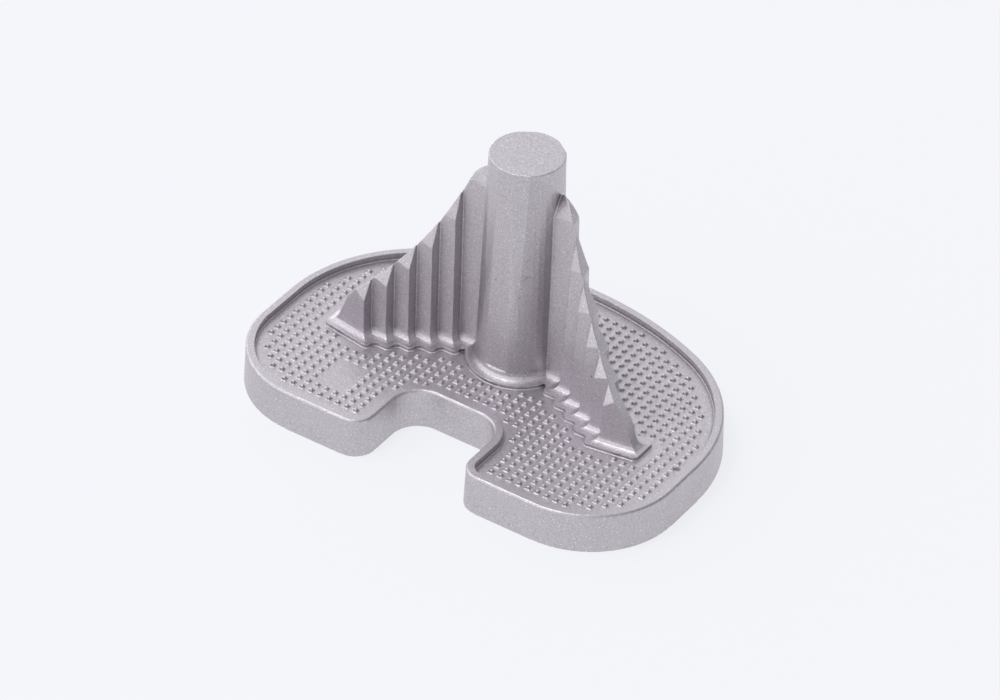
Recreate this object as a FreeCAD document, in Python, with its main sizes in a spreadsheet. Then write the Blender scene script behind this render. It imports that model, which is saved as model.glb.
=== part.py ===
import FreeCAD, Part
import math
import os
import Sketcher

V = FreeCAD.Vector
tiny = 1e-4

# A one-piece cast tibial tray, lying on its flat bearing face with the stem up.
# X runs side to side, +Y away from the notch, +Z towards the stem's tip.
# The origin is where the stem's axis meets the flat face.

doc = FreeCAD.newDocument("tibial_tray")

# Driving dimensions in millimetres and degrees
SIZES = {
    # plate outline, measured at the flat face
    "plate_height": 6.5,
    "half_width": 36.4,
    "front_reach": 19.6,
    "back_reach": 28.9,
    "side_setback": 7.3,
    "side_radius": 24.4,
    "lobe_radius": 14.7,
    "notch_length": 12.9,
    "notch_half_width": 8.25,
    "notch_radius": 4.5,
    "lobe_corner_radius": 3.5,
    "wall_draft": 1.8,
    # pocket and its rim
    "rim_width": 1.3,
    "pocket_depth": 1.1,
    "rim_edge_break": 0.25,
    # stem, measured from the pocket floor
    "stem_height": 37.2,
    "stem_tip_radius": 5.66,
    "stem_base_radius": 6.5,
    "back_flat_depth": 0.12,
    "back_flat_draft": 1.0,
    "side_flat_turn": 25.0,
    "side_flat_depth": 0.14,
    "side_flat_draft": 1.65,
    "front_flat_turn": 35.0,
    "front_flat_depth": 0.18,
    "front_flat_draft": 1.4,
    # corrugated fins, measured at the pocket floor
    "fin_thickness": 3.3,
    "fin_draft": 1.5,
    "far_step_shift": 0.5,
    "step_count": 5,
    "step_run": 2.85,
    "step_drop": 1.66,
    "riser_lean": 0.24,
    "first_step_out": 9.5,
    "first_step_back": 3.6,
    "tip_near_slope": 8.9,
    "tip_far_slope": 11.1,
    "fin_reach": 26.45,
    "tip_lean": 21.0,
    # knife-edged top of the fins: heights above the pocket floor,
    # and distances out along the ridge line
    "ridge_turn": 31.8,
    "ridge_offset": 3.76,
    "near_bevel": 49.0,
    "near_bevel_turn": 47.5,
    "far_bevel": 40.5,
    "far_bevel_turn": 11.0,
    "shoulder_out": 9.45,
    "shoulder_height": 31.7,
    "shoulder_slope": 16.7,
    "shoulder_radius": 3.4,
    "waist_out": 16.7,
    "waist_height": 17.1,
    "waist_radius": 51.0,
    "ridge_end_out": 27.5,
    "ridge_end_height": 7.65,
    # plinth under the stem and fins
    "plinth_height": 0.6,
    "plinth_margin": 1.75,
    "plinth_end_margin": 1.2,
    "plinth_disc_radius": 8.0,
    "plinth_corner_cut": 0.45,
    "root_radius": 1.1,
    # field of pegs on the pocket floor
    "peg_pitch": 1.6,
    "peg_row_offset": 0.64,
    "peg_base": 0.8,
    "peg_top": 0.42,
    "peg_height": 0.48,
    "peg_wall_gap": 1.5,
    "peg_plinth_gap": 0.98,
    # bare patch on the left lobe
    "patch_left": 20.8,
    "patch_right": 16.0,
    "patch_front": 16.2,
    "patch_back": 22.6,
}

sheet = doc.addObject("Spreadsheet::Sheet", "sizes")
for row, (name, value) in enumerate(SIZES.items(), start=1):
    sheet.set(f"A{row}", name)
    sheet.set(f"B{row}", str(value))
    sheet.setAlias(f"B{row}", name)
doc.recompute()


def size(name):
    return float(getattr(sheet, name))


def tan(degrees):
    return math.tan(math.radians(degrees))


def bind(item, **expressions):
    """Tie properties of a feature to cells of the sheet"""
    for name, expression in expressions.items():
        item.setExpression(name, expression)


FLOOR = "(sizes.plate_height - sizes.pocket_depth)"
LAP = "(sizes.pocket_depth / 2)"
floor_height = size("plate_height") - size("pocket_depth")
# depth by which a solid that stands on the floor runs into the plate
lap = size("pocket_depth") / 2


# Plate: a drafted kidney with a notch, hollowed to a shallow pocket

def kidney(inset):
    """The closed outline, clockwise from the front arc, moved in by inset"""
    width = size("half_width") - inset
    front = size("front_reach") - inset
    back = -size("back_reach") + inset
    side_y = -size("side_setback")
    side_r = size("side_radius") - inset
    lobe_r = size("lobe_radius") - inset
    corner_r = size("lobe_corner_radius") - inset
    notch_w = size("notch_half_width") + inset
    notch_r = size("notch_radius") + inset
    notch_y = -size("back_reach") + size("notch_length") + inset
    quarter = math.pi / 2

    # the front arc runs into both side arcs without a corner
    side_x = width - side_r
    rise = front - side_y
    front_r = (side_x ** 2 + rise ** 2 - side_r ** 2) / (2 * (rise - side_r))
    join = math.asin(side_x / (front_r - side_r))

    def arc(x, y, radius, start, end):
        return Part.ArcOfCircle(Part.Circle(V(x, y, 0), V(0, 0, 1), radius), start, end)

    def half(hand):
        def side_arc(x, y, radius, start, end):
            if hand > 0:
                return arc(x, y, radius, start, end)
            return arc(-x, y, radius, math.pi - end, math.pi - start)

        def line(x1, y1, x2, y2):
            return Part.LineSegment(V(hand * x1, y1, 0), V(hand * x2, y2, 0))

        lobe_x, lobe_y = width - lobe_r, back + lobe_r
        corner_x, corner_y = notch_w + corner_r, back + corner_r
        top_x, top_y = notch_w - notch_r, notch_y - notch_r
        return [
            side_arc(side_x, side_y, side_r, 0, quarter - join),
            line(width, side_y, width, lobe_y),
            side_arc(lobe_x, lobe_y, lobe_r, -quarter, 0),
            line(lobe_x, back, corner_x, back),
            side_arc(corner_x, corner_y, corner_r, math.pi, math.pi + quarter),
            line(notch_w, corner_y, notch_w, top_y),
            side_arc(top_x, top_y, notch_r, 0, quarter),
        ]

    front_arc = arc(0, front - front_r, front_r, quarter - join, quarter + join)
    top = Part.LineSegment(V(notch_w - notch_r, notch_y, 0), V(notch_r - notch_w, notch_y, 0))
    return [front_arc] + half(1) + [top] + half(-1)[::-1]


# places of the outline's pieces in that list, on the right side
FRONT, SIDE, FLANK, LOBE, BACK, CORNER, WALL, NOTCH, TOP = range(9)


def kidney_sketch(body, name, inset, inset_expression):
    """The outline as a sketch of the body, each size tied to the sheet"""
    sketch = body.newObject("Sketcher::SketchObject", name)
    outline = kidney(inset)
    count = len(outline)
    for piece in outline:
        sketch.addGeometry(piece)
    ends = [(piece.StartPoint, piece.EndPoint) for piece in sketch.Geometry]
    crown = sketch.addGeometry(Part.Point(V(0, size("front_reach") - inset, 0)), True)

    def add(*where):
        return sketch.addConstraint(Sketcher.Constraint(*where))

    def dimension(size_name, sign, *where):
        index = add(*where, size(size_name) + sign * inset)
        sketch.renameConstraint(index, size_name)
        expression = f"sizes.{size_name} + ({sign}) * {inset_expression}"
        sketch.setExpression(f"Constraints.{size_name}", expression)

    for one in range(count):
        other = (one + 1) % count
        pairs = [(a, b) for a in (0, 1) for b in (0, 1)]
        a, b = min(pairs, key=lambda p: (ends[one][p[0]] - ends[other][p[1]]).Length)
        add("Tangent", one, a + 1, other, b + 1)
    for right in (SIDE, LOBE, CORNER, NOTCH):
        add("Equal", right, count - right)
    for right in (FLANK, WALL):
        add("Vertical", right)
    for right in (FLANK, BACK, WALL):
        add("Symmetric", right, 1, count - right, 1, -2)
    add("Horizontal", BACK)
    add("Horizontal", TOP)
    add("PointOnObject", crown, 1, -2)
    add("PointOnObject", crown, 1, FRONT)

    dimension("side_radius", -1, "Radius", SIDE)
    dimension("lobe_radius", -1, "Radius", LOBE)
    dimension("lobe_corner_radius", -1, "Radius", CORNER)
    dimension("notch_radius", 1, "Radius", NOTCH)
    dimension("half_width", -1, "DistanceX", -1, 1, FLANK, 1)
    dimension("side_setback", 0, "DistanceY", FLANK, 1, -1, 1)
    dimension("front_reach", -1, "DistanceY", -1, 1, crown, 1)
    dimension("back_reach", -1, "DistanceY", BACK, 1, -1, 1)
    dimension("notch_half_width", 1, "DistanceX", -1, 1, WALL, 1)
    dimension("notch_length", 0, "DistanceY", BACK, 1, TOP, 1)
    return sketch


def outer_edges(height, shape):
    """Names of the edges round the outside of the flat face at a height"""
    for face in shape.Faces:
        box = face.BoundBox
        if box.ZLength < tiny and abs(box.ZMin - height) < tiny:
            rim = face.OuterWire.Edges
            return [f"Edge{number}" for number, edge in enumerate(shape.Edges, start=1)
                    if any(edge.isSame(other) for other in rim)]
    raise RuntimeError(f"no face at {height}")


plate = doc.addObject("PartDesign::Body", "plate")
outline = kidney_sketch(plate, "plate_outline", 0, "0")
slab = plate.newObject("PartDesign::Pad", "slab")
slab.Profile = outline
bind(slab, Length="sizes.plate_height", TaperAngle="-sizes.wall_draft")
doc.recompute()

wall_run = size("plate_height") * tan(size("wall_draft"))
pocket_inset = size("rim_width") + wall_run
pocket_outline = kidney_sketch(
    plate, "pocket_outline", pocket_inset,
    "(sizes.rim_width + sizes.plate_height * tan(sizes.wall_draft))")
bind(pocket_outline, **{"Placement.Base.z": "sizes.plate_height"})
pocket = plate.newObject("PartDesign::Pocket", "pocket")
pocket.Profile = pocket_outline
bind(pocket, Length="sizes.pocket_depth")
doc.recompute()

rim_edges = plate.newObject("PartDesign::Chamfer", "rim_edges")
rim_edges.Base = (pocket, outer_edges(size("plate_height"), pocket.Shape))
bind(rim_edges, Size="sizes.rim_edge_break")
plate.Tip = rim_edges
doc.recompute()


# Stem: a drafted cone with five shallow flats ground along it

stem_core = doc.addObject("Part::Cone", "stem_core")
bind(stem_core, Radius1="sizes.stem_base_radius + (sizes.stem_base_radius - sizes.stem_tip_radius)"
     f" * {LAP} / sizes.stem_height",
     Radius2="sizes.stem_tip_radius", Height=f"sizes.stem_height + {LAP}")
bind(stem_core, **{"Placement.Base.z": f"{FLOOR} - {LAP}"})
stem_tip = floor_height + size("stem_height")


def flat(name, kind, turn):
    """Block whose inner face lies along a flat of the stem, turned from +Y"""
    block = doc.addObject("Part::Box", name)
    bind(block, Length="4 * sizes.stem_base_radius", Width="sizes.stem_base_radius",
         Height="2 * sizes.stem_height")
    reach = size("stem_tip_radius") - size(f"{kind}_flat_depth")
    corner = V(-2 * size("stem_base_radius"), 0, -1.5 * size("stem_height"))
    block.Placement = (
        FreeCAD.Placement(V(0, 0, stem_tip), FreeCAD.Rotation(V(0, 0, 1), turn))
        * FreeCAD.Placement(V(0, reach, 0),
                            FreeCAD.Rotation(V(1, 0, 0), size(f"{kind}_flat_draft")))
        * FreeCAD.Placement(corner, FreeCAD.Rotation()))
    return block


HALF_TURN = 180
flats = doc.addObject("Part::MultiFuse", "flats")
flats.Shapes = [
    flat("back_flat", "back", HALF_TURN),
    flat("right_back_flat", "side", HALF_TURN + size("side_flat_turn")),
    flat("left_back_flat", "side", HALF_TURN - size("side_flat_turn")),
    flat("right_front_flat", "front", -size("front_flat_turn")),
    flat("left_front_flat", "front", size("front_flat_turn")),
]
stem = doc.addObject("Part::Cut", "stem")
stem.Base, stem.Tool = stem_core, flats
doc.recompute()


# Fins: stepped walls, each the overlap of what lies behind its near steps,
# in front of its far steps and under the two bevels that meet in its ridge

def steps(shift):
    """Near steps of the right fin, from the stem out, moved in by shift"""
    corners = []
    for number in range(int(size("step_count"))):
        x = size("first_step_out") + number * size("step_run") + shift
        y = -size("first_step_back") - number * size("step_drop") + shift
        corners += [V(x - size("riser_lean"), y + size("step_drop"), 0), V(x, y, 0)]
    return corners


def far_steps(shift):
    """Steps of the right fin's other side, a little further out than the near ones"""
    return [corner + V(size("far_step_shift"), size("fin_thickness"), 0)
            for corner in steps(-shift)]


def steps_near(shift, side_out):
    """Outline of all that lies behind the near steps"""
    corners = steps(shift)
    last = corners[-1]
    end = V(side_out, last.y + (side_out - last.x) * tan(size("tip_near_slope")), 0)
    return [V(0, corners[0].y, 0), *corners, end,
            V(side_out, side_out, 0), V(0, side_out, 0)]


def steps_far(shift, side_out):
    """Outline of all that lies in front of the far steps"""
    corners = far_steps(shift)
    last = corners[-1]
    end = V(side_out, last.y - (side_out - last.x) * tan(size("tip_far_slope")), 0)
    return [V(0, corners[0].y, 0), *corners, end,
            V(side_out, -side_out, 0), V(0, -side_out, 0)]


def polygon_sketch(name, points, height):
    """A closed outline at a height above the flat face, an expression"""
    sketch = doc.addObject("Sketcher::SketchObject", name)
    for start, end in zip(points, points[1:] + points[:1]):
        sketch.addGeometry(Part.LineSegment(start, end))
    bind(sketch, **{"Placement.Base.z": height})
    return sketch


side_out = size("half_width")
low_shift = -lap * tan(size("fin_draft"))
high_shift = size("stem_height") * tan(size("fin_draft"))
walls = []
for name, outline_of in [("near_steps", steps_near), ("far_steps", steps_far)]:
    low = polygon_sketch(f"{name}_low", outline_of(low_shift, side_out), f"{FLOOR} - {LAP}")
    high = polygon_sketch(f"{name}_high", outline_of(high_shift, side_out),
                          f"{FLOOR} + sizes.stem_height")
    wall = doc.addObject("Part::Loft", name)
    wall.Sections = [low, high]
    wall.Solid, wall.Ruled = True, True
    walls.append(wall)
doc.recompute()


# the most of a side that the two roundings at its ends may take
SHARE = 0.9


def rounded(points, radii):
    """Lines and arcs along a closed outline, each corner rounded by its radius"""
    count = len(points)
    sides = [(points[(index + 1) % count] - points[index]).Length for index in range(count)]
    half_angles, cuts = [], []
    for index, radius in enumerate(radii):
        before = points[index - 1] - points[index]
        after = points[(index + 1) % count] - points[index]
        half_angles.append(before.getAngle(after) / 2)
        cuts.append(radius / math.tan(half_angles[-1]))
    fits = [min(1, SHARE * side / max(cuts[index] + cuts[(index + 1) % count], tiny))
            for index, side in enumerate(sides)]
    ends, pieces = [], []
    for index, corner in enumerate(points):
        before = (points[index - 1] - corner).normalize()
        after = (points[(index + 1) % count] - corner).normalize()
        cut = cuts[index] * min(fits[index - 1], fits[index])
        start, end = corner + before * cut, corner + after * cut
        ends.append((start, end))
        if cut > tiny:
            half_angle = half_angles[index]
            tuck = cut / math.cos(half_angle) - cut * math.tan(half_angle)
            pieces.append(Part.Arc(start, corner + (before + after).normalize() * tuck, end))
    for index in range(count):
        start, end = ends[index - 1][1], ends[index][0]
        if start.distanceToPoint(end) > tiny:
            pieces.append(Part.LineSegment(start, end))
    return pieces


# the bevels reach this far to both sides of the ridge
ridge_cross = size("stem_base_radius") + size("fin_thickness")
depth = ridge_cross * tan(size("near_bevel")) + size("stem_height")
ridge_start = -ridge_cross * (1 + tan(size("near_bevel_turn")))
tail_slope = ((size("waist_height") - size("ridge_end_height"))
              / (size("ridge_end_out") - size("waist_out")))
shoulder_rise = (size("shoulder_out") - ridge_start) * tan(size("shoulder_slope"))
ridge_points = [
    V(ridge_start, size("shoulder_height") + shoulder_rise, 0),
    V(size("shoulder_out"), size("shoulder_height"), 0),
    V(size("waist_out"), size("waist_height"), 0),
    V(size("waist_out") + (size("waist_height") + depth) / tail_slope, -depth, 0),
    V(ridge_start, -depth, 0),
]
ridge = doc.addObject("Sketcher::SketchObject", "ridge")
for piece in rounded(ridge_points, [0, size("shoulder_radius"), size("waist_radius"), 0, 0]):
    ridge.addGeometry(piece)
turn = math.radians(size("ridge_turn"))
ridge.Placement = FreeCAD.Placement(
    V(0, size("ridge_offset") / math.cos(turn), floor_height),
    FreeCAD.Rotation(V(0, 0, 1), -size("ridge_turn")) * FreeCAD.Rotation(V(1, 0, 0), 90))

along_ridge = V(math.cos(turn), -math.sin(turn), 0)
across_ridge = V(math.sin(turn), math.cos(turn), 0)
bevels = []
for name, hand in [("near_bevel", 1), ("far_bevel", -1)]:
    under = doc.addObject("Part::Extrusion", f"under_{name}")
    under.Base = ridge
    under.DirMode = "Custom"
    rise = V(0, 0, hand * tan(size(name)))
    slide = along_ridge * (hand * tan(size(f"{name}_turn")))
    under.Dir = across_ridge + slide + rise
    under.LengthFwd = ridge_cross * under.Dir.Length
    under.LengthRev = ridge_cross * under.Dir.Length
    under.Solid = True
    bevels.append(under)

# leaning end face of the fin, as a block that holds all within it
end_block = doc.addObject("Part::Box", "end_block")
bind(end_block, Length="2 * sizes.half_width", Width="2 * sizes.half_width",
     Height="4 * sizes.stem_height")
end_block.Placement = (
    FreeCAD.Placement(V(size("fin_reach"), 0, floor_height + size("plinth_height")),
                      FreeCAD.Rotation(V(0, 1, 0), -size("tip_lean")))
    * FreeCAD.Placement(V(-2 * side_out, -side_out, -2 * size("stem_height")),
                        FreeCAD.Rotation()))

right_fin = doc.addObject("Part::MultiCommon", "right_fin")
right_fin.Shapes = walls + bevels + [end_block]


def mirrored(name, source):
    """The left fin's twin of a solid"""
    twin = doc.addObject("Part::Mirroring", name)
    twin.Source = source
    twin.Normal = (1, 0, 0)
    return twin


left_fin = mirrored("left_fin", right_fin)
doc.recompute()


# Plinth: a thin step that follows the foot of the stem and fins at a margin

def foot_points(margin, end_x):
    """Outline of the right fin's foot, moved out by margin, as far as end_x"""
    near = steps(-margin)
    far = far_steps(-margin)
    near_drift = (end_x - near[-1].x) * tan(size("tip_near_slope"))
    far_drift = (end_x - far[-1].x) * tan(size("tip_far_slope"))
    near_end = V(end_x, near[-1].y + near_drift, 0)
    far_end = V(end_x, far[-1].y - far_drift, 0)
    return ([V(0, near[0].y, 0)] + near + [near_end, far_end]
            + far[::-1] + [V(0, far[0].y, 0)])


def clipped(points, cut):
    """An outline with each corner but the first and last cut off at a slant"""
    clip = [points[0]]
    for before, corner, after in zip(points, points[1:], points[2:]):
        clip.append(corner + (before - corner).normalize() * cut)
        clip.append(corner + (after - corner).normalize() * cut)
    return clip + [points[-1]]


foot = foot_points(size("plinth_margin"), size("fin_reach") + size("plinth_end_margin"))
plinth_outline = polygon_sketch(
    "plinth_outline", clipped(foot, size("plinth_corner_cut")), f"{FLOOR} - {LAP}")
right_plinth = doc.addObject("Part::Extrusion", "right_plinth")
right_plinth.Base = plinth_outline
right_plinth.DirMode = "Custom"
right_plinth.Dir = V(0, 0, 1)
right_plinth.Solid = True
bind(right_plinth, LengthFwd=f"sizes.plinth_height + {LAP}")
plinth_disc = doc.addObject("Part::Cylinder", "plinth_disc")
bind(plinth_disc, Radius="sizes.plinth_disc_radius", Height=f"sizes.plinth_height + {LAP}")
bind(plinth_disc, **{"Placement.Base.z": f"{FLOOR} - {LAP}"})
plinth = doc.addObject("Part::MultiFuse", "plinth")
plinth.Shapes = [right_plinth, mirrored("left_plinth", right_plinth), plinth_disc]
plinth.Refine = True
doc.recompute()


# Root: the cove between the keel's walls and the plinth, built up in bands

ROOT_BANDS = 3
root_radius = size("root_radius")
band_heights = [root_radius * (1 - math.cos(math.pi / 2 * band / ROOT_BANDS))
                for band in range(ROOT_BANDS + 1)]


def cove(height):
    """How far the cove stands out from the wall at a height above the plinth"""
    return root_radius - math.sqrt(root_radius ** 2 - (root_radius - height) ** 2)


right_root = doc.addObject("Part::Loft", "right_root")
sections = [polygon_sketch(
    "root_foundation", foot_points(root_radius, size("fin_reach") + root_radius),
    f"{FLOOR} - {LAP}")]
for band, height in enumerate(band_heights):
    wall_shift = (size("plinth_height") + height) * tan(size("fin_draft"))
    end_x = size("fin_reach") - height * tan(size("tip_lean")) + cove(height)
    sections.append(polygon_sketch(
        f"root_band_{band}", foot_points(cove(height) - wall_shift, end_x),
        f"{FLOOR} + sizes.plinth_height + {height}"))
right_root.Sections = sections
right_root.Solid, right_root.Ruled = True, True

stem_slope = (size("stem_base_radius") - size("stem_tip_radius")) / size("stem_height")
root_points = [V(0, -lap, 0), V(size("stem_base_radius") + root_radius, -lap, 0)]
for height in band_heights:
    rise = size("plinth_height") + height
    root_points.append(V(size("stem_base_radius") - stem_slope * rise + cove(height), rise, 0))
root_points.append(V(0, root_points[-1].y, 0))
root_profile = polygon_sketch("root_profile", root_points, FLOOR)
root_profile.Placement.Rotation = FreeCAD.Rotation(V(1, 0, 0), 90)
stem_root = doc.addObject("Part::Revolution", "stem_root")
stem_root.Source = root_profile
stem_root.Axis = (0, 0, 1)
stem_root.Solid = True
doc.recompute()


# Pegs: small square frusta on a lattice, where each one fits whole

peg = doc.addObject("Part::Wedge", "peg")
LEAN = "((sizes.peg_base - sizes.peg_top) / 2 / sizes.peg_height)"
bind(peg, Ymin="0", Ymax=f"sizes.peg_height + {LAP}",
     Xmin="0", Xmax=f"sizes.peg_base + 2 * {LEAN} * {LAP}",
     Zmin="0", Zmax=f"sizes.peg_base + 2 * {LEAN} * {LAP}",
     X2min=f"{LEAN} * (sizes.peg_height + {LAP})",
     X2max=f"sizes.peg_base + 2 * {LEAN} * {LAP} - {LEAN} * (sizes.peg_height + {LAP})",
     Z2min=f"{LEAN} * (sizes.peg_height + {LAP})",
     Z2max=f"sizes.peg_base + 2 * {LEAN} * {LAP} - {LEAN} * (sizes.peg_height + {LAP})")
peg.Placement = FreeCAD.Placement(V(0, 0, 0), FreeCAD.Rotation(V(1, 0, 0), 90))
doc.recompute()

pocket_wire = Part.Wire(Part.__sortEdges__([piece.toShape() for piece in kidney(pocket_inset)]))
pocket_face = Part.Face(pocket_wire)


def peg_fits(spot):
    """True where a whole peg stands clear of the wall, plinth and bare patch"""
    if not pocket_face.isInside(spot, tiny, True):
        return False
    point = Part.Vertex(spot)
    if pocket_wire.distToShape(point)[0] < size("peg_wall_gap"):
        return False
    on_plinth = V(spot.x, spot.y, floor_height)
    if plinth.Shape.distToShape(Part.Vertex(on_plinth))[0] < size("peg_plinth_gap"):
        return False
    across = -size("patch_left") < spot.x < -size("patch_right")
    along = -size("patch_back") < spot.y < -size("patch_front")
    return not (across and along)


pitch = size("peg_pitch")
columns = math.ceil(size("half_width") / pitch)
rows = math.ceil(size("back_reach") / pitch)
peg_box = peg.Shape.BoundBox
sunk = V(-peg_box.Center.x, -peg_box.Center.y, floor_height - lap - peg_box.ZMin)
spots = [V((column + 0.5) * pitch, row * pitch + size("peg_row_offset"), 0)
         for column in range(-columns, columns) for row in range(-rows, rows)]
pegs = doc.addObject("Part::Feature", "pegs")
pegs.Shape = Part.makeCompound(
    [peg.Shape.translated(spot + sunk) for spot in spots if peg_fits(spot)])
doc.recompute()


# The casting: all of it one solid

tray = doc.addObject("Part::MultiFuse", "tray")
tray.Label = "tibial_tray"
tray.Shapes = [plate, plinth, stem_root, right_root, mirrored("left_root", right_root),
               stem, right_fin, left_fin, pegs]
doc.recompute()

for item in doc.Objects:
    if "Invalid" in item.State or "Error" in item.State:
        raise RuntimeError(f"{item.Label} did not build")
if tray.Shape.isNull() or not tray.Shape.isValid():
    raise RuntimeError("the tray is not a sound solid")
if len(tray.Shape.Solids) != 1:
    raise RuntimeError("the tray is not one solid")

os.makedirs("parts", exist_ok=True)
tray.Shape.exportStep(f"parts/{tray.Label}.step")
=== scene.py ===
import bpy
import math
from mathutils import Euler, Matrix, Vector


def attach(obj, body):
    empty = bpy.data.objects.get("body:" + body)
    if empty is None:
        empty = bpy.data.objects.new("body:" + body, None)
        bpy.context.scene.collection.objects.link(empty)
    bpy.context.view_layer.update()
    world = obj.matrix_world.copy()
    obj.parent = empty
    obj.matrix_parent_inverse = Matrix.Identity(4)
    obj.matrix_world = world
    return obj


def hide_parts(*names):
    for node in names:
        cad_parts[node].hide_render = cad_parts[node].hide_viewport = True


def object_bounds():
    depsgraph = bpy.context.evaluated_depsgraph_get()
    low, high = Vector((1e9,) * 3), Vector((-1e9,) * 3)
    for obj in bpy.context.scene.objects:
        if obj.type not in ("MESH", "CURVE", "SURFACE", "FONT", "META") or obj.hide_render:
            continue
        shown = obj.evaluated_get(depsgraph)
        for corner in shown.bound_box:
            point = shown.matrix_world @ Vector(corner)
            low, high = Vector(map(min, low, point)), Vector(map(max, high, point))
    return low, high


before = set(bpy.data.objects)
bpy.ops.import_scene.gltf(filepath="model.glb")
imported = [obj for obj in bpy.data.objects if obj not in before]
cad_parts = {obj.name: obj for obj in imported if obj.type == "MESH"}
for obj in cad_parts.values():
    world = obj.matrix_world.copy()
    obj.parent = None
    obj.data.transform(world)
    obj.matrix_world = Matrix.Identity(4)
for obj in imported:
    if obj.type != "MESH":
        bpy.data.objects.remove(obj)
cad_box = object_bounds()


# Tray casting
# The tray is one investment casting in cobalt-chrome: plate, pegs, plinth, stem and fins
# are one pour. Wax pattern and blasting leave every edge and every peg slightly soft, so
# a skin is drawn over the solid in fine steps and smoothed once.

MM = 0.001
SKIN_STEP_MM = 0.1
SOFTENING = 0.5
SHARP_EDGE = 50
MOST_TRIANGLES = 190000


def settled_mesh(piece):
    """The piece's mesh with its modifiers worked in and taken off"""
    depsgraph = bpy.context.evaluated_depsgraph_get()
    mesh = bpy.data.meshes.new_from_object(piece.evaluated_get(depsgraph))
    piece.modifiers.clear()
    return mesh


def soft_casting(node):
    """The node's mesh with its edges rounded as a blasted casting's are"""
    piece = node.copy()
    piece.data = node.data.copy()
    piece.name = "casting"
    piece.data.transform(Matrix.Scale(1 / MM, 4))
    bpy.context.scene.collection.objects.link(piece)

    skin = piece.modifiers.new("skin", "REMESH")
    skin.mode = "VOXEL"
    skin.voxel_size = SKIN_STEP_MM
    soften = piece.modifiers.new("soften", "SMOOTH")
    soften.factor = SOFTENING
    soften.iterations = 1
    piece.data = settled_mesh(piece)

    triangles = sum(len(face.vertices) - 2 for face in piece.data.polygons)
    thin = piece.modifiers.new("thin", "DECIMATE")
    thin.ratio = min(1, MOST_TRIANGLES / triangles)
    piece.data = settled_mesh(piece)

    piece.data.polygons.foreach_set("use_smooth", [True] * len(piece.data.polygons))
    piece.data.set_sharp_from_angle(angle=math.radians(SHARP_EDGE))
    shading = piece.modifiers.new("flats stay flat", "WEIGHTED_NORMAL")
    shading.keep_sharp = True
    piece.data = settled_mesh(piece)
    piece.data.transform(Matrix.Scale(MM, 4))
    return piece


def linear(hex_colour):
    """An sRGB hex colour as linear red, green, blue and alpha"""
    channels = [int(hex_colour[i:i + 2], 16) / 255 for i in (1, 3, 5)]
    return [c / 12.92 if c <= 0.04045 else ((c + 0.055) / 1.055) ** 2.4
            for c in channels] + [1]


def add_node(tree, kind, settings=(), inputs=(), in_order=(), **links):
    """One shader node with its settings, socket values and incoming links"""
    node = tree.nodes.new(kind)
    for name, value in dict(settings).items():
        setattr(node, name, value)
    for name, value in dict(inputs).items():
        node.inputs[name].default_value = value
    for place, socket in enumerate(in_order):
        tree.links.new(socket, node.inputs[place])
    for name, socket in links.items():
        tree.links.new(socket, node.inputs[name.replace("_", " ")])
    return node


# Bare cobalt-chrome as it leaves the blasting cabinet: a metal, so its colour is in its
# reflection. The grit leaves a satin skin of tiny dents and a faint cloudiness a few
# millimetres across; bright specks are painted into the grey as painted glints. The dents
# and the painted glints are drawn a little coarser than real ones, so that they show. A
# FADE pair gives the values of a pattern between which it fades in.
METAL_GREY = "#cbc6cb"
DENT_GREY = "#b8b2b7"
DENT_MM = 0.25
DENT_DEPTH_MM = 0.04
DENT_FADE = (0.36, 0.56)
# Painted glints: the bright grey of a few specks mixed into the metal's grey
GLINT_PAINT_GREY = "#f4f2f5"
GLINT_PAINT_MM = 0.6
GLINT_PAINT_FADE = (0.17, 0.08)
BLAST_ROUGHNESS = 0.41
CLOUD_MM = 5.0
CLOUD_FADE = (0.35, 0.65)
CLOUD_SWING = 0.04

# In the corners the metal is rougher, and its grey is darkened there as painted shade. A
# few small spots, each given by its centre and radius, are painted almost as dark.
# Painted shade: the grey towards which the corners darken
CORNER_SHADE_GREY = "#6f696f"
CORNER_ROUGHNESS = 0.8
CORNER_MM = 1.0
CORNER_FADE = (0.45, 0.8)
SPECKS_MM = (
    ((33.4, -8.5, 5.4), 0.55),
    ((25.0, -5.7, 6.0), 0.3),
    ((24.8, -5.1, 5.9), 0.3),
    ((16.9, -6.7, 13.7), 0.2),
    ((-0.8, -5.9, 22.9), 0.18),
)
SPECK_CORE = 0.6
SPECK_METAL_SHARE = 0.35


def blasted_grey(tree, place, dents):
    """Grey of the open faces: plain metal, duller dents and painted glints"""
    dent_share = add_node(tree, "ShaderNodeMapRange",
                          inputs={"From Min": DENT_FADE[0], "From Max": DENT_FADE[1]},
                          Value=dents)
    grey = add_node(tree, "ShaderNodeMix", {"data_type": "RGBA"},
                    {"A": linear(DENT_GREY), "B": linear(METAL_GREY)},
                    Factor=dent_share.outputs["Result"])
    # Painted glints: a few bright specks mixed into the grey
    glint_cells = add_node(tree, "ShaderNodeTexVoronoi",
                      inputs={"Scale": 1 / (GLINT_PAINT_MM * MM)}, Vector=place)
    painted_glint_share = add_node(tree, "ShaderNodeMapRange",
                           inputs={"From Min": GLINT_PAINT_FADE[0], "From Max": GLINT_PAINT_FADE[1]},
                           Value=glint_cells.outputs["Distance"])
    with_painted_glints = add_node(tree, "ShaderNodeMix", {"data_type": "RGBA"},
                         {"B": linear(GLINT_PAINT_GREY)},
                         Factor=painted_glint_share.outputs["Result"], A=grey.outputs["Result"])
    return with_painted_glints.outputs["Result"]


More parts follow.
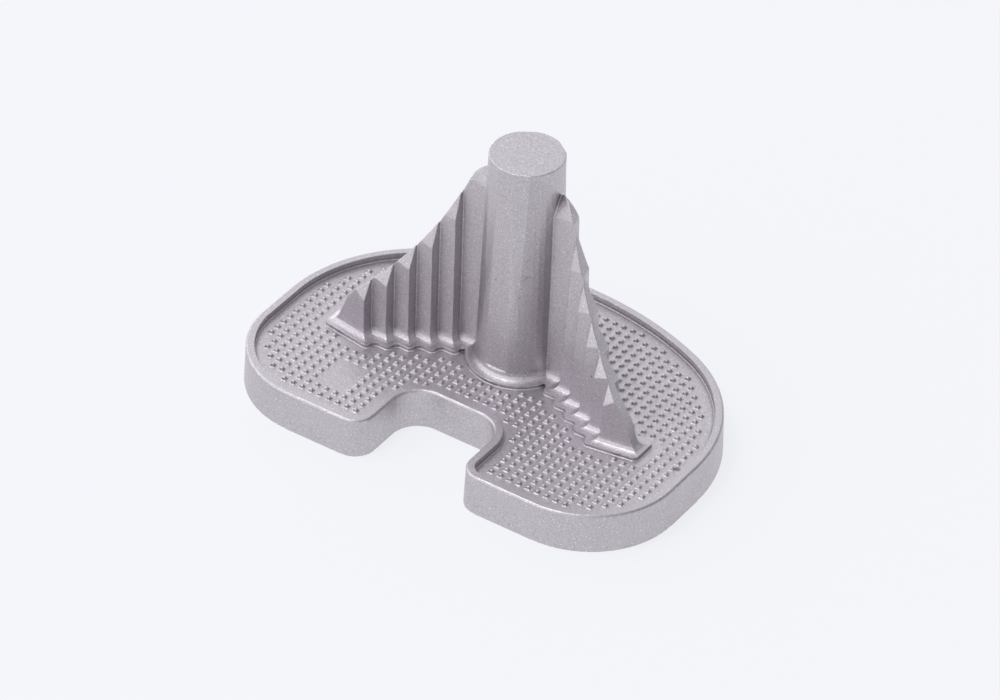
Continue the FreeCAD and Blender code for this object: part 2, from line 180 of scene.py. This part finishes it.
def cloudy_roughness(tree, place):
    """Roughness of the open faces, which swings a little from cloud to cloud"""
    clouds = add_node(tree, "ShaderNodeTexNoise",
                      inputs={"Scale": 1 / (CLOUD_MM * MM), "Detail": 3.0}, Vector=place)
    sheen = add_node(tree, "ShaderNodeMapRange",
                     inputs={"From Min": CLOUD_FADE[0], "From Max": CLOUD_FADE[1],
                             "To Min": BLAST_ROUGHNESS - CLOUD_SWING,
                             "To Max": BLAST_ROUGHNESS + CLOUD_SWING},
                     Value=clouds.outputs["Fac"])
    return sheen.outputs["Result"]


def painted_shade_and_spots(tree, place):
    """One on open faces, less in corners, where shade is painted, and on the painted dark
    spots
    """
    # Painted shade: the grey darkens where ambient occlusion finds a corner
    hollows = add_node(tree, "ShaderNodeAmbientOcclusion",
                       {"samples": 8, "only_local": True}, {"Distance": CORNER_MM * MM})
    unshaded_unspotted = add_node(tree, "ShaderNodeMapRange",
                     inputs={"From Min": CORNER_FADE[0], "From Max": CORNER_FADE[1]},
                     Value=hollows.outputs["AO"]).outputs["Result"]
    # Dark spots painted at the listed points, each fading out towards its radius
    for centre, radius in SPECKS_MM:
        away = add_node(tree, "ShaderNodeVectorMath", {"operation": "DISTANCE"},
                        {1: [c * MM for c in centre]}, in_order=[place])
        off_speck = add_node(tree, "ShaderNodeMapRange",
                             inputs={"From Min": SPECK_CORE * radius * MM,
                                     "From Max": radius * MM, "To Min": SPECK_METAL_SHARE},
                             Value=away.outputs["Value"])
        unshaded_unspotted = add_node(tree, "ShaderNodeMath", {"operation": "MINIMUM"},
                         in_order=[unshaded_unspotted, off_speck.outputs["Result"]]).outputs[0]
    return unshaded_unspotted


def blasted_cobalt_chrome():
    material = bpy.data.materials.new("blasted cobalt-chrome")
    material.use_nodes = True
    tree = material.node_tree
    tree.nodes.clear()
    place = add_node(tree, "ShaderNodeTexCoord").outputs["Object"]
    dents = add_node(tree, "ShaderNodeTexNoise",
                     inputs={"Scale": 1 / (DENT_MM * MM), "Detail": 2.0, "Roughness": 0.7},
                     Vector=place).outputs["Fac"]
    unshaded_unspotted = painted_shade_and_spots(tree, place)
    # Painted shade in the corners and the dark spots, mixed over the open faces' grey
    grey = add_node(tree, "ShaderNodeMix", {"data_type": "RGBA"}, {"A": linear(CORNER_SHADE_GREY)},
                    Factor=unshaded_unspotted, B=blasted_grey(tree, place, dents))
    roughness = add_node(tree, "ShaderNodeMix", {"data_type": "FLOAT"},
                         {"A": CORNER_ROUGHNESS},
                         Factor=unshaded_unspotted, B=cloudy_roughness(tree, place))
    relief = add_node(tree, "ShaderNodeBump",
                      inputs={"Strength": 1.0, "Distance": DENT_DEPTH_MM * MM}, Height=dents)
    metal = add_node(tree, "ShaderNodeBsdfPrincipled", inputs={"Metallic": 1.0},
                     Base_Color=grey.outputs["Result"], Roughness=roughness.outputs["Result"],
                     Normal=relief.outputs["Normal"])
    add_node(tree, "ShaderNodeOutputMaterial", Surface=metal.outputs["BSDF"])
    return material


casting = soft_casting(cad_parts["tibial_tray"])
casting.data.materials.clear()
casting.data.materials.append(blasted_cobalt_chrome())
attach(casting, "root")
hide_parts("tibial_tray")


# Floor
# A sheet of pale matt card, far wider than the view, that the tray rests on. Where it is
# seen or mirrored it keeps its pale colour, and it still darkens under the tray.

FLOOR_COLOUR = "#f4f5f9"
FLOOR_SIZE = 6.0
CARD_GLOW = 0.85


def seen_directly(tree, rays):
    """One where one of these rays meets the surface, else nought"""
    path = add_node(tree, "ShaderNodeLightPath")
    seen = path.outputs[rays[0]]
    for ray in rays[1:]:
        seen = add_node(tree, "ShaderNodeMath", {"operation": "MAXIMUM"},
                        in_order=[seen, path.outputs[ray]]).outputs[0]
    return seen


def pale_card():
    material = bpy.data.materials.new("pale card")
    material.use_nodes = True
    tree = material.node_tree
    tree.nodes.clear()
    seen = seen_directly(tree, ["Is Camera Ray", "Is Glossy Ray", "Is Transmission Ray"])
    share = add_node(tree, "ShaderNodeMath", {"operation": "MULTIPLY"}, {1: CARD_GLOW},
                     in_order=[seen])
    matt = add_node(tree, "ShaderNodeBsdfDiffuse", inputs={"Color": linear(FLOOR_COLOUR)})
    glow = add_node(tree, "ShaderNodeEmission", inputs={"Color": linear(FLOOR_COLOUR)})
    mix = add_node(tree, "ShaderNodeMixShader",
                   in_order=[share.outputs[0], matt.outputs[0], glow.outputs[0]])
    add_node(tree, "ShaderNodeOutputMaterial", Surface=mix.outputs[0])
    return material


bpy.ops.mesh.primitive_plane_add(size=FLOOR_SIZE)
floor = bpy.context.object
floor.name = "floor"
floor.location.z = cad_box[0][2]
floor.data.materials.append(pale_card())


# Light
# A softbox almost overhead lights the front edges and the tips of the pegs, and a low one
# behind on the left lights their left sides. The rest of the light comes from the room.


def direction(turn, elevation):
    """Unit vector turned from -Y towards +X and raised, both in degrees"""
    turn, elevation = math.radians(turn), math.radians(elevation)
    return Vector((math.sin(turn) * math.cos(elevation),
                   -math.cos(turn) * math.cos(elevation),
                   math.sin(elevation)))


def softbox(name, turn, elevation, distance, size, power):
    """Square area light aimed at the tray"""
    lamp = bpy.data.lights.new(name, "AREA")
    lamp.size = size
    lamp.energy = power
    box = bpy.data.objects.new(name, lamp)
    box.location = distance * direction(turn, elevation)
    box.rotation_euler = box.location.to_track_quat("Z", "Y").to_euler()
    bpy.context.scene.collection.objects.link(box)


softbox("high softbox", turn=-40, elevation=72, distance=1.0, size=0.15, power=1.8)
softbox("low softbox", turn=-130, elevation=5, distance=1.0, size=0.25, power=0.8)


# Room
# Pale walls all round, brighter on the left than on the right. The metal mirrors them,
# on average at the level at which the camera sees them.

ROOM_COLOUR = "#f4f5f9"
ROOM_LEVEL = 1.02
ROOM_SWING = 0.7
BRIGHT_TURN = -72
BRIGHT_ELEVATION = -6

room = bpy.data.worlds.new("room")
room.use_nodes = True
tree = room.node_tree
tree.nodes.clear()
bright_side = add_node(tree, "ShaderNodeVectorMath", {"operation": "DOT_PRODUCT"},
                       {1: direction(BRIGHT_TURN, BRIGHT_ELEVATION)},
                       in_order=[add_node(tree, "ShaderNodeTexCoord").outputs["Generated"]])
falloff = add_node(tree, "ShaderNodeMapRange",
                   inputs={"From Min": -1.0, "To Min": ROOM_LEVEL - ROOM_SWING,
                           "To Max": ROOM_LEVEL + ROOM_SWING},
                   Value=bright_side.outputs["Value"])
lit = add_node(tree, "ShaderNodeBackground", inputs={"Color": linear(ROOM_COLOUR)},
               Strength=falloff.outputs["Result"])
seen = add_node(tree, "ShaderNodeBackground",
                inputs={"Color": linear(ROOM_COLOUR), "Strength": 1.0})
mix = add_node(tree, "ShaderNodeMixShader",
               in_order=[seen_directly(tree, ["Is Camera Ray", "Is Transmission Ray"]),
                         lit.outputs[0], seen.outputs[0]])
add_node(tree, "ShaderNodeOutputWorld", Surface=mix.outputs[0])
bpy.context.scene.world = room
bpy.context.scene.view_settings.view_transform = "Standard"


# Camera
# A long lens a metre away that looks down on the notch side from the right. It was placed
# so that the tray's outline falls where the photograph shows it.

AIM_MM = (-3.25, -0.09, 5.17)
CAMERA_TURN = 32.44
CAMERA_ELEVATION = 37.75
CAMERA_ROLL = 2.44
CAMERA_DISTANCE_MM = 985.8
LENS_MM = 239.2
SENSOR_MM = 36.0

optics = bpy.data.cameras.new("camera")
optics.lens = LENS_MM
optics.sensor_width = SENSOR_MM
camera = bpy.data.objects.new("camera", optics)
outward = direction(CAMERA_TURN, CAMERA_ELEVATION)
look = outward.to_track_quat("Z", "Y")
roll = Euler((0, 0, math.radians(CAMERA_ROLL))).to_quaternion()
camera.rotation_euler = (look @ roll).to_euler()
camera.location = (Vector(AIM_MM) + outward * CAMERA_DISTANCE_MM) * MM
bpy.context.scene.collection.objects.link(camera)
bpy.context.scene.camera = camera
